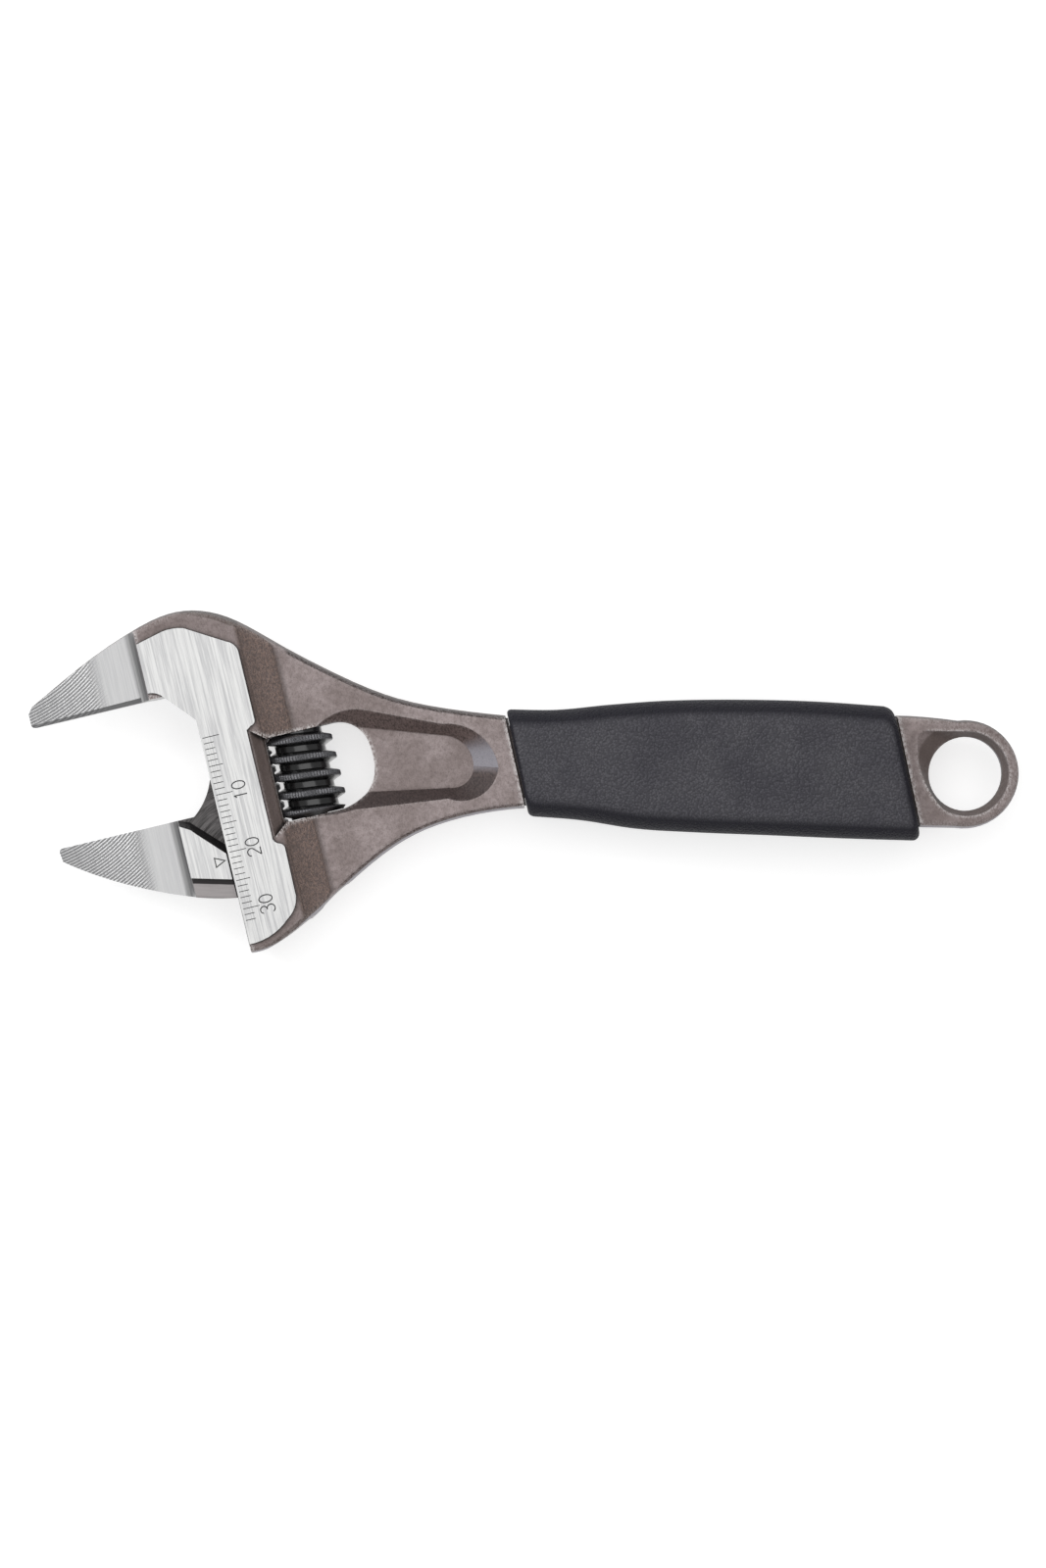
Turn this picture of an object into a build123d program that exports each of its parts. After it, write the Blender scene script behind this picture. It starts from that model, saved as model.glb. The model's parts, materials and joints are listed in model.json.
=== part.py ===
from build123d import *
from math import cos, pi, radians, sin, sqrt, tan
import os

# Adjustable wrench with thin, wide-opening jaws. Millimetres.
# The outlines are drawn about the centre of the hanging eye, with the handle along X and the
# middle of the thickness at Z = 0. At the end every piece is moved so that the origin is under
# the middle of the whole wrench, on the surface that it lies on.
# The head is turned to the handle. Its own directions are "across", from the front edge of the
# head towards the handle, and "down", the way the moving jaw opens, from the fixed jaw's face.

# Head and jaws
HANDLE_LENGTH = 133.4        # eye's centre to the front edge of the head, along the handle
HEAD_TURN = 15.0             # turn of the head to the handle, degrees
HEAD_RISE = 10.63            # fixed jaw's face above the middle of the handle
JAW_REACH = 28.0             # fixed jaw's tip to the head's front edge
OPENING = 21.2               # jaw opening as modelled
MAX_OPENING = 32.0
STEP_ACROSS = -9.1           # where the ground thin jaw starts to rise into the head
STEP_RADIUS = 2.0
TIP_HALF = 1.7               # half thickness of a jaw at its tip
STEP_HALF = 2.4              # half thickness of a jaw at the step
BEVEL_TIP = 0.5              # bevel along the fixed jaw's face, at the tip and at the step
BEVEL_STEP = 0.8
THROAT_ACROSS = -4.6         # root end of the fixed jaw's face
THROAT_DOWN = 5.2            # where the throat meets the front edge
HEAD_DOWN = 46.5             # lower end of the head's front edge
JAW_BACK = -0.3              # back of the moving jaw, just clear of the head's front edge
JAW_LOW = [(-24.2, 5.1), (-15.2, 10.15), (-5.5, 14.0), (JAW_BACK, 15.2)]   # its lower edge

# Thicknesses, from the middle of the wrench to one side
GROUND_HALF = 6.25           # ground flat on the head
HEAD_HALF = GROUND_HALF - 0.35   # forged head round the flat
ROOT_HALF = GROUND_HALF - 0.2    # ground root of the moving jaw
BAND_HALF = ROOT_HALF - 1.1      # forged band along the moving jaw's lower edge
NECK_HALF = 4.35
PANEL_HALF = 2.2             # floor of the neck panel
SHANK_HALF = 3.2             # under the grip
EYE_HALF = 4.0
FORGING_DRAFT = 6.0          # degrees
FORGED_ROUND = 0.8           # edges of the head and neck
EYE_ROUND = 0.7
SHOULDER_START = 10.3        # across, where the head slopes down to the neck
SHOULDER_END = 15.6

# Scale and pointer engraved on the upper side
SCALE_START = 8.5            # distance of the zero line from the fixed jaw's face
SCALE_MARKS = int(MAX_OPENING)
MARK_WIDTH = 0.13
MARK_DEPTH = 0.12
MARK_START = 0.35
MARK_ENDS = {1: 2.1, 5: 2.75, 10: 3.25}
NUMERAL_HEIGHT = 2.3
NUMERAL_WIDTH = 1.3
NUMERAL_GAP = 0.45
NUMERAL_BASE = 5.6           # foot of the numerals, across the head; their tops face its front
NUMERAL_STROKE = 0.2

# Knurl, its window, pin and spring
KNURL_ACROSS = 16.0
KNURL_RADIUS = 5.8
KNURL_ROOT = 4.3
KNURL_PITCH = 3.15           # left-hand thread, one turn moves the jaw this far
KNURL_CREST_DOWN = 13.2      # a thread crest on the side towards the handle
CREST_HALF = 0.45            # half width of the thread at its crest
FOOT_HALF = 1.05             # half width of the thread at its root
KNURL_CHAMFER = 1.0          # off the thread's crest at the knurl's ends
WINDOW_TOP = 11.0
WINDOW_BOTTOM = 25.8
WINDOW_LEFT = KNURL_ACROSS - KNURL_RADIUS + 0.3
WINDOW_CORNER = 0.9
KNURL_END_GAP = 0.1
PIN_RADIUS = 2.0
PIN_THREAD_RADIUS = PIN_RADIUS + 0.6
PIN_TIP = 6.0                # blind end of the pin's hole, down from the fixed jaw's face
PIN_THREAD_START = 28.5
PIN_END = 37.8
PIN_SLOT = 0.9
RUNNING_CLEARANCE = 0.05
SPRING_WIRE = 0.6
SPRING_RADIUS = PIN_RADIUS + 0.32 + SPRING_WIRE / 2
SPRING_DEPTH = 4.6           # counterbore for the spring in the knurl's upper end
SPRING_TURNS = 4.0

# Rack rod and web, and their ways in the head
RACK_TIP_GAP = 0.6           # teeth short of the knurl's root
RACK_CLEARANCE = 0.3         # rack grooves round the knurl's thread
ROD_RADIUS = 4.6
ROD_ACROSS = KNURL_ACROSS - KNURL_ROOT - RACK_TIP_GAP - ROD_RADIUS
ROD_TOP = -8.4               # ends of the rod from the moving jaw's face
ROD_END = 15.5
ROD_CHAMFER = 0.5
WEB_HALF = 2.5
WAY_CLEARANCE = 0.06         # rod and web in their ways, each side
WEB_NOSE = ((-4.4, 0.0), (-2.3, -2.0), (-0.35, -5.4))
SLOT_RELIEF = 0.35           # slot over the web's nose with the jaws closed

# Handle and grip
NECK_LENGTH = 54.1           # head's front edge to the upper end of the grip's first edge
NECK_TOP = 7.9
NECK_BOTTOM = -7.95
EYE_LENGTH = 12.2            # eye's centre to the upper end of the grip's last edge
EYE_TOP = 9.7
EYE_BOTTOM = -9.4
END_SLANT = 0.24             # grip's ends lean this far along the handle for each mm down
SHANK_INSET = 1.8            # shank inside the metal beside the grip
SHANK_CHAMFER = 0.8
GROOVE_DEPTH = 0.45          # of the grooves at the grip's ends
GRIP_GAP = 0.4               # groove between the grip and the metal at each end
GRIP_END_HALF = 5.7          # half thickness of the grip at its ends and middle
GRIP_HALF = 7.6
GRIP_ROUND = 4.2
NECK_END_ROUND = 0.7
EYE_END_ROUND = 1.5

# Hanging eye
EYE_HOLE_RADIUS = 6.35
EYE_LAND_HALF = 1.2          # straight part of the hole, from the middle of the wrench
EYE_WALL = 2.9
EYE_RADIUS = EYE_HOLE_RADIUS + EYE_WALL

FAR = 80.0                   # longer than any cut needs
HEAD_X = -HANDLE_LENGTH
NECK_END_TOP = (HEAD_X + NECK_LENGTH, NECK_TOP)
NECK_END_BOTTOM = (NECK_END_TOP[0] + END_SLANT * (NECK_TOP - NECK_BOTTOM), NECK_BOTTOM)
EYE_END_TOP = (-EYE_LENGTH, EYE_TOP)
EYE_END_BOTTOM = (-EYE_LENGTH + END_SLANT * (EYE_TOP - EYE_BOTTOM), EYE_BOTTOM)


def slide_direction():
    """The way the moving jaw opens."""
    turn = radians(HEAD_TURN)
    return Vector(sin(turn), -cos(turn), 0)


def head_point(across, down):
    """A point given in the head's directions, on the drawing of the whole wrench."""
    turn = radians(HEAD_TURN)
    x = HEAD_X + across * cos(turn) + down * sin(turn)
    y = HEAD_RISE + across * sin(turn) - down * cos(turn)
    return (x, y)


def neck_point(along, up):
    """A point of the neck: along the handle from the head's front edge, and up from its middle."""
    return (HEAD_X + along, up)


def head_plane(down=0.0):
    """Plane of the wrench with X across the head and Y down it."""
    turn = radians(HEAD_TURN)
    x, y = head_point(0, down)
    return Plane(origin=(x, y, 0), x_dir=(cos(turn), sin(turn), 0), z_dir=(0, 0, -1))


def slide_plane(across, down):
    """Plane square to the slide: X across the head, Y up through the thickness."""
    turn = radians(HEAD_TURN)
    x, y = head_point(across, down)
    return Plane(origin=(x, y, 0), x_dir=(cos(turn), sin(turn), 0), z_dir=slide_direction())


def round_bar(across, top, bottom, radius):
    """Cylinder along the slide, from one distance down the head to another."""
    return extrude(slide_plane(across, top) * Circle(radius), bottom - top)


def slab(outline, half):
    """Flat plate of an outline, as thick on each side of the middle."""
    return extrude(outline, half, both=True)


def both_sides(cut):
    """A cut in the upper side and its mirror image in the lower side."""
    return cut + cut.mirror(Plane.XY)


def straight_face(points):
    """Face inside straight edges."""
    return make_face(Polyline(*points, close=True))


# ---------------------------------------------------------------------------------- body

def inset(points, amount):
    """Points moved square to the line through them, to the right of the way it runs."""
    moved = []
    for index, (x, y) in enumerate(points):
        before = points[max(index - 1, 0)]
        after = points[min(index + 1, len(points) - 1)]
        run = Vector(after[0] - before[0], after[1] - before[1]).normalized()
        moved.append((x + amount * run.Y, y - amount * run.X))
    return moved


def head_outline(draft=0.0):
    """Fixed jaw, head and neck as far as the grip; draft draws the forged edges in."""
    top = inset([
        head_point(-JAW_REACH + 0.7, -3.7),
        head_point(-18.0, -8.3),
        head_point(-7.5, -12.4),
        head_point(0.7, -13.85),
        head_point(7.3, -12.0),
        head_point(15.9, -5.0),
        neck_point(24.4, 14.5),
        neck_point(34.6, 10.6),
        neck_point(44.7, 8.75),
        NECK_END_TOP,
    ], draft)
    bottom = inset([
        NECK_END_BOTTOM,
        neck_point(48.6, -9.5),
        neck_point(38.6, -13.3),
        neck_point(28.7, -21.1),
        head_point(12.0, 42.4),
        head_point(5.6, 45.7),
        head_point(0.0, HEAD_DOWN),
    ], draft)
    face_start = head_point(-JAW_REACH + 0.6, 0.0)
    tip_top = head_point(-JAW_REACH, -0.7)
    tip_end = head_point(-JAW_REACH, -2.5)
    throat = head_point(THROAT_ACROSS, 0.0)
    front = head_point(0.0, THROAT_DOWN)
    return make_face([
        Spline(*top),
        Line(top[-1], bottom[0]),
        Spline(*bottom),
        Line(bottom[-1], front),
        Line(front, throat),
        Line(throat, face_start),
        ThreePointArc(face_start, head_point(-JAW_REACH + 0.17, -0.2), tip_top),
        Line(tip_top, tip_end),
        Line(tip_end, top[0]),
    ])


def forged(outline, half):
    """Plate forged between two dies: full size at the middle, drawn in towards each side."""
    draft = half * tan(radians(FORGING_DRAFT))
    upper = loft([outline(), Plane.XY.offset(half) * outline(draft)], ruled=True)
    return both_sides(upper)


def jaw_profile():
    """Upper edge of a jaw's thickness: the ground taper and the round at its step."""
    slope = (STEP_HALF - TIP_HALF) / (JAW_REACH + STEP_ACROSS)
    tip = (-JAW_REACH - 4.0, TIP_HALF - 4.0 * slope)
    foot = (STEP_ACROSS, STEP_HALF)
    bend = STEP_RADIUS * (1 - sqrt(0.5))
    wall = (STEP_ACROSS + STEP_RADIUS, STEP_HALF + STEP_RADIUS)
    middle = (wall[0] - bend, STEP_HALF + bend)
    return [Line(tip, foot), ThreePointArc(foot, middle, wall)], tip, wall


def thickness_prism(edges, tip, end):
    """Closes an upper thickness profile about the middle and runs it down the whole head."""
    closed = edges + [Polyline(end, (end[0], 0), (tip[0], 0), tip)]
    return both_sides(slab(slide_plane(0, 0) * make_face(closed), FAR))


def head_thickness():
    """All that the thickness of the fixed jaw, head and neck allows."""
    edges, tip, wall = jaw_profile()
    top = (wall[0] + 0.15, HEAD_HALF)
    shoulder = (SHOULDER_START, HEAD_HALF)
    crease = (SHOULDER_END, NECK_HALF)
    end = (FAR, NECK_HALF)
    return thickness_prism(edges + [Polyline(wall, top, shoulder, crease, end)], tip, end)


def rounded_head():
    """Forged head and neck, with the forged edges rounded between the jaw's step and the grip."""
    blank = forged(head_outline, GROUND_HALF + 0.5) & head_thickness()
    edges = []
    for edge in blank.edges():
        middle = edge.center()
        level = abs(middle.Z) > NECK_HALF - 0.5
        beside = abs(edge.tangent_at(0.5).dot(slide_direction())) < 0.98
        past_step = head_plane().to_local_coords(middle).X > STEP_ACROSS + STEP_RADIUS + 0.5
        if level and beside and past_step and edge.geom_type != GeomType.LINE:
            edges.append(edge)
    return fillet(edges, FORGED_ROUND)


def rounded_eye():
    """Forged eye with its outer edges rounded."""
    blank = forged(eye_outline, EYE_HALF)
    edges = [edge for edge in blank.edges() if abs(edge.center().Z) > EYE_HALF - 0.1]
    edges = [edge for edge in edges if edge.center().X > -EYE_LENGTH + 3]
    return fillet(edges, EYE_ROUND)


def ground_flat_outline():
    """The ground flat on the head, with the bar beside the knurl window."""
    start = STEP_ACROSS + STEP_RADIUS + 0.15
    bar = WINDOW_LEFT - 2.5
    return head_plane() * make_face([
        ThreePointArc((THROAT_ACROSS, 0.0), (THROAT_ACROSS - 1.1, -0.85), (start, -1.1)),
        Polyline((start, -1.1), (start, -9.7), (-3.2, -10.6)),
        ThreePointArc((-3.2, -10.6), (-0.9, -10.95), (1.5, -10.6)),
        Line((1.5, -10.6), (8.2, -6.6)),
        ThreePointArc((8.2, -6.6), (9.4, -5.6), (9.75, -4.2)),
        Line((9.75, -4.2), (9.75, 7.4)),
        ThreePointArc((9.75, 7.4), (9.5, 8.0), (8.9, 8.3)),
        Polyline((8.9, 8.3), (bar, 8.9), (bar, 27.8)),
        ThreePointArc((bar, 27.8), (bar + 0.3, 28.6), (8.9, 29.0)),
        ThreePointArc((8.9, 29.0), (9.5, 29.4), (9.7, 30.2)),
        Line((9.7, 30.2), (9.6, 38.4)),
        ThreePointArc((9.6, 38.4), (8.9, 40.3), (7.4, 41.8)),
        ThreePointArc((7.4, 41.8), (4.1, 43.9), (0.0, 44.6)),
        Polyline((0.0, 44.6), (0.0, THROAT_DOWN), (THROAT_ACROSS, 0.0)),
    ])


def jaw_bevel():
    """Bevel along the upper edge of the fixed jaw's face, wider towards the step."""
    sections = []
    for across, half, width in ((-JAW_REACH - 1.0, TIP_HALF, BEVEL_TIP),
                                (STEP_ACROSS + 0.6, STEP_HALF, BEVEL_STEP)):
        x, y = head_point(across, 0.0)
        towards_step = head_plane().x_dir
        plane = Plane(origin=(x, y, 0), x_dir=slide_direction(), z_dir=towards_step)
        sections.append(plane * straight_face([
            (-width, half), (width, half - 2 * width), (width, half + width), (-width, half + width),
        ]))
    return loft(sections, ruled=True)


def window_outline():
    """Opening for the knurl, right through the head."""
    top = WINDOW_TOP
    bottom = WINDOW_BOTTOM
    left = WINDOW_LEFT
    corner = WINDOW_CORNER
    bend = corner * (1 - sqrt(0.5))
    curve = [(22.4, top), (25.6, 12.1), (27.4, 14.6), (27.9, 17.9), (27.4, 21.2), (25.7, 23.8), (23.2, 25.2),
             (20.4, bottom)]
    right = Spline(*curve, tangents=[(1, 0), (-1, 0)], tangent_scalars=[1, 1])
    return head_plane() * make_face([
        Line((left, bottom - corner), (left, top + corner)),
        ThreePointArc((left, top + corner), (left + bend, top + bend), (left + corner, top)),
        Line((left + corner, top), (22.4, top)),
        right,
        Line((20.4, bottom), (left + corner, bottom)),
        ThreePointArc((left + corner, bottom), (left + bend, bottom - bend), (left, bottom - corner)),
    ])


def strip_cut():
    """Sloped strip between the ground bar and the window, cut in the upper side."""
    inner = WINDOW_LEFT - 2.5
    outer = WINDOW_LEFT + 2.0
    drop = (GROUND_HALF - NECK_HALF + 0.15) / (WINDOW_LEFT - inner)
    high = GROUND_HALF + 1.0
    low = GROUND_HALF - drop * (outer - inner)
    wedge = straight_face([(inner, high), (inner, GROUND_HALF), (outer, low), (outer, high)])
    plan = straight_face([(inner - 0.1, 8.7), (outer, 12.3), (outer, 24.5), (inner - 0.1, 28.3)])
    return slab(slide_plane(0, 0) * wedge, FAR) & slab(head_plane() * plan, FAR)


def panel_cut():
    """Neck panel beside the window, with sloping sides, cut in the upper side."""
    floor_end = HEAD_X + 48.7
    rim_end = HEAD_X + 53.5
    turn = HEAD_X + 43.4
    start = HEAD_X + 29.0
    floor = Plane.XY.offset(PANEL_HALF) * make_face([
        ThreePointArc(neck_point(23.0, 2.0), neck_point(25.4, 4.3), (start, 5.1)),
        Line((start, 5.1), (turn, 4.1)),
        ThreePointArc((turn, 4.1), (floor_end - 1.2, 2.2), (floor_end, -0.9)),
        ThreePointArc((floor_end, -0.9), (floor_end - 0.9, -3.5), (turn + 1.4, -4.7)),
        Line((turn + 1.4, -4.7), (start, -5.9)),
        ThreePointArc((start, -5.9), neck_point(26.2, -6.3), neck_point(23.4, -6.4)),
        Line(neck_point(23.4, -6.4), neck_point(23.0, 2.0)),
    ])
    rim = Plane.XY.offset(NECK_HALF + 0.05) * make_face([
        ThreePointArc(neck_point(21.6, 5.0), neck_point(24.7, 7.4), (start, 8.4)),
        Line((start, 8.4), (turn, 6.2)),
        ThreePointArc((turn, 6.2), (rim_end - 2.9, 4.0), (rim_end, -1.1)),
        ThreePointArc((rim_end, -1.1), (rim_end - 2.0, -5.3), (turn + 1.4, -6.8)),
        Line((turn + 1.4, -6.8), (start, -9.1)),
        ThreePointArc((start, -9.1), neck_point(25.8, -10.0), neck_point(22.6, -10.4)),
        Line(neck_point(22.6, -10.4), neck_point(21.6, 5.0)),
    ])
    return loft([floor, rim], ruled=True)


def rod_way():
    """Bore for the rack rod and slot for the web, open at the head's lower end."""
    top = ROD_TOP - 3 * WAY_CLEARANCE
    radius = ROD_RADIUS + WAY_CLEARANCE
    cone = loft([
        slide_plane(ROD_ACROSS, top) * Circle(radius - ROD_CHAMFER),
        slide_plane(ROD_ACROSS, top + ROD_CHAMFER) * Circle(radius),
    ])
    bore = cone + round_bar(ROD_ACROSS, top + ROD_CHAMFER, FAR, radius)
    nose = [(across - SLOT_RELIEF, down - 0.7 * SLOT_RELIEF) for across, down in WEB_NOSE]
    slot = head_plane() * make_face([
        ThreePointArc(*nose),
        Polyline(nose[-1], (1.4, top), (ROD_ACROSS, top), (ROD_ACROSS, FAR)),
        Polyline((ROD_ACROSS, FAR), (nose[0][0], FAR), nose[0]),
    ])
    return bore + slab(slot, WEB_HALF + WAY_CLEARANCE)


def pin_way():
    """Stepped hole for the knurl's pin, from the lower shoulder edge to its blind end."""
    thin = round_bar(KNURL_ACROSS, PIN_TIP, PIN_THREAD_START, PIN_RADIUS + RUNNING_CLEARANCE)
    threaded = round_bar(KNURL_ACROSS, PIN_THREAD_START, FAR, PIN_THREAD_RADIUS)
    return thin + threaded


def shank():
    """Core under the grip, let into the neck and the eye."""
    outline = straight_face([
        (NECK_END_TOP[0] - 2, NECK_END_TOP[1] - SHANK_INSET),
        (EYE_END_TOP[0] + 2, EYE_END_TOP[1] - SHANK_INSET),
        (EYE_END_BOTTOM[0] + 2, EYE_END_BOTTOM[1] + SHANK_INSET),
        (NECK_END_BOTTOM[0] - 2, NECK_END_BOTTOM[1] + SHANK_INSET),
    ])
    core = slab(outline, SHANK_HALF)
    long_edges = [edge for edge in core.edges() if edge.length > HANDLE_LENGTH / 3]
    return chamfer(long_edges, SHANK_CHAMFER)


def groove_floor(top_end, bottom_end, start, end):
    """Metal in the shallow groove beside the grip, between two distances from a slanted end."""
    top = (top_end[0] + END_SLANT * GROOVE_DEPTH, top_end[1] - GROOVE_DEPTH)
    bottom = (bottom_end[0] - END_SLANT * GROOVE_DEPTH, bottom_end[1] + GROOVE_DEPTH)
    return slab(straight_face([
        (top[0] + start, top[1]),
        (top[0] + end, top[1]),
        (bottom[0] + end, bottom[1]),
        (bottom[0] + start, bottom[1]),
    ]), SHANK_HALF)


def groove_floors():
    """Floors of the grooves at the neck and at the eye."""
    reach = GRIP_GAP - RUNNING_CLEARANCE
    at_neck = groove_floor(NECK_END_TOP, NECK_END_BOTTOM, -1, reach)
    at_eye = groove_floor(EYE_END_TOP, EYE_END_BOTTOM, -reach, 1)
    return at_neck + at_eye


def eye_outline(draft=0.0):
    """Outer form of the eye beside the grip; draft draws its edges in."""
    radius = EYE_RADIUS - draft
    top = (EYE_END_TOP[0] + END_SLANT * draft, EYE_TOP - draft)
    bottom = (EYE_END_BOTTOM[0] - END_SLANT * draft, EYE_BOTTOM + draft)
    crown = (-1.5, radius - 0.15)
    foot = (-1.5, -radius - 0.1)
    end = (radius, 0)
    side = radius * cos(radians(45))
    return make_face([
        Line(bottom, top),
        Spline(top, (-6.5, top[1] - 0.15), crown, tangents=[(1, 0.03), (1, -0.12)]),
        ThreePointArc(crown, (side, side), end),
        ThreePointArc(end, (side, -side), foot),
        Line(foot, bottom),
    ])


def on_hole(angle):
    """A point on the rim of the eye's straight hole."""
    return (EYE_HOLE_RADIUS * cos(radians(angle)), EYE_HOLE_RADIUS * sin(radians(angle)))


def eye_flare():
    """Sloping wall of the eye, squared at its upper grip-side corner, cut in the upper side."""
    low = Plane.XY.offset(EYE_LAND_HALF) * make_face([
        ThreePointArc(on_hole(118), on_hole(101), on_hole(84)),
        ThreePointArc(on_hole(84), on_hole(-20), on_hole(-122)),
        ThreePointArc(on_hole(-122), on_hole(-158), on_hole(-194)),
        ThreePointArc(on_hole(-194), on_hole(-203), on_hole(-212)),
        ThreePointArc(on_hole(-212), on_hole(-227), on_hole(-242)),
    ])
    reach = EYE_HOLE_RADIUS + 1.0
    left = -reach - 1.3
    top = reach - 0.1
    crown = (0.8, reach)
    foot = (-0.53 * reach, -0.85 * reach)
    side = (left + 0.05, 2.6)
    high = Plane.XY.offset(EYE_HALF + 0.05) * make_face([
        Line((left + 1.8, top), crown),
        ThreePointArc(crown, (0.94 * reach, -0.34 * reach), foot),
        ThreePointArc(foot, (-0.94 * reach, -0.3 * reach), side),
        Line(side, (left, top - 1.7)),
        ThreePointArc((left, top - 1.7), (left + 0.45, top - 0.45), (left + 1.8, top)),
    ])
    return loft([low, high], ruled=True)


def numeral(name):
    """Lines of one numeral, its foot at the origin."""
    w = NUMERAL_WIDTH
    h = NUMERAL_HEIGHT
    if name == "0":
        return [Ellipse(w / 2, h / 2).edge().moved(Pos(w / 2, h / 2))]
    if name == "1":
        return [Line((w / 2, 0), (w / 2, h)), Line((w / 2, h), (w / 4, 0.8 * h))]
    if name == "2":
        crown = ThreePointArc((0, 0.75 * h), (0.62 * w, 0.98 * h), (0.85 * w, 0.5 * h))
        return [crown, Line((0.85 * w, 0.5 * h), (0, 0)), Line((0, 0), (w, 0))]
    crown = ThreePointArc((0, 0.85 * h), (0.9 * w, 0.8 * h), (0.4 * w, 0.54 * h))
    return [crown, ThreePointArc((0.4 * w, 0.54 * h), (w, 0.25 * h), (0, 0.12 * h))]


def scale_cuts():
    """Millimetre marks and their numerals, as cuts in the upper ground flat."""
    top = head_plane().offset(-GROUND_HALF)
    cuts = []
    for count in range(SCALE_MARKS + 1):
        step = 10 if count % 10 == 0 else 5 if count % 5 == 0 else 1
        length = MARK_ENDS[step] - MARK_START
        middle = Pos(MARK_START + length / 2, SCALE_START + count)
        cuts.append(extrude(top * middle * Rectangle(length, MARK_WIDTH), MARK_DEPTH))
    for tens in range(10, SCALE_MARKS, 10):
        for place, name in enumerate(str(tens)):
            shift = NUMERAL_WIDTH + NUMERAL_GAP / 2 - place * (NUMERAL_WIDTH + NUMERAL_GAP)
            spot = Pos(NUMERAL_BASE, SCALE_START + tens + shift) * Rot(0, 0, -90) * Rot(180, 0, 0)
            for stroke in numeral(name):
                cuts.append(extrude(top * spot * trace(stroke, NUMERAL_STROKE), MARK_DEPTH, both=True))
    return cuts


def body():
    """The forging: fixed jaw, head, neck, shank and eye, with its machined ways and scale."""
    solid = rounded_head() + rounded_eye() + shank() + groove_floors()
    solid += slab(ground_flat_outline(), GROUND_HALF)
    solid -= slab(window_outline(), FAR)
    solid -= both_sides(jaw_bevel())
    solid -= both_sides(strip_cut())
    solid -= both_sides(panel_cut())
    solid -= rod_way()
    solid -= pin_way()
    solid -= slab(Circle(EYE_HOLE_RADIUS), FAR)
    solid -= both_sides(eye_flare())
    return solid - scale_cuts()


# ---------------------------------------------------------------------------- moving jaw

def jaw_outline():
    """Moving jaw without its web, from its face down to its lower edge."""
    tip = -JAW_REACH - 0.3
    low = [(tip + 0.2, 2.3)] + JAW_LOW
    return head_plane(OPENING) * make_face([
        Line((JAW_BACK, 0.0), (tip + 0.6, 0.0)),
        ThreePointArc((tip + 0.6, 0.0), (tip + 0.17, 0.2), (tip, 0.7)),
        Line((tip, 0.7), low[0]),
        Spline(*low),
        Line(low[-1], (JAW_BACK, 0.0)),
    ])


def jaw_blade():
    """The ground thin jaw with the round at its step."""
    edges, tip, wall = jaw_profile()
    return slab(jaw_outline(), FAR) & thickness_prism(edges, tip, wall)


def jaw_root():
    """Thick root of the moving jaw; its upper wall slopes from the web to the ground root."""
    left = STEP_ACROSS + STEP_RADIUS
    right = JAW_BACK
    foot = [(left, 0.1), (-5.3, 0.7), (-4.6, 1.45), (right, 5.75), (right, 17.0), (left, 17.0)]
    crest = [(left, 1.0), (-5.3, 2.1), (-4.6, 2.9), (right, 7.4), (right, 17.0), (left, 17.0)]
    plane = head_plane(OPENING)
    upper = loft([
        plane.offset(-WEB_HALF + 0.1) * straight_face(foot),
        plane.offset(-ROOT_HALF) * straight_face(crest),
    ], ruled=True)
    return both_sides(upper) & slab(jaw_outline(), FAR)


def jaw_web():
    """Web between the jaw's root and the rack rod, in the middle of the thickness."""
    left = STEP_ACROSS + STEP_RADIUS - 0.5
    top = ROD_TOP + ROD_CHAMFER
    low = JAW_LOW[-1][1]
    outline = make_face([
        ThreePointArc(*WEB_NOSE),
        Polyline(WEB_NOSE[-1], (1.5, top), (ROD_ACROSS, top), (ROD_ACROSS, low)),
        Polyline((ROD_ACROSS, low), (JAW_BACK, low), (left, 12.5), (left, 0.0), WEB_NOSE[0]),
    ])
    return slab(head_plane(OPENING) * outline, WEB_HALF)


def jaw_band_cut():
    """Forged band along the root's lower edge, cut in the upper side."""
    x, y = head_point(STEP_ACROSS + STEP_RADIUS, OPENING + 10.1)
    plane = Plane(origin=(x, y, 0), x_dir=(0, -1, 0), z_dir=(-1, 0, 0))
    high = ROOT_HALF + 1.0
    edge = [(0, high), (0, ROOT_HALF - 0.5), (0.25, BAND_HALF + 0.2), (0.95, BAND_HALF)]
    profile = straight_face(edge + [(6.0, BAND_HALF - 0.7), (6.0, high)])
    return extrude(plane * profile, -FAR)


def rack_rod():
    """Round rod that guides the jaw in the head."""
    top = OPENING + ROD_TOP
    bottom = OPENING + ROD_END
    rod = round_bar(ROD_ACROSS, top, bottom, ROD_RADIUS)
    ends = [edge for edge in rod.edges() if edge.geom_type == GeomType.CIRCLE]
    return chamfer(ends, ROD_CHAMFER)


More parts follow.
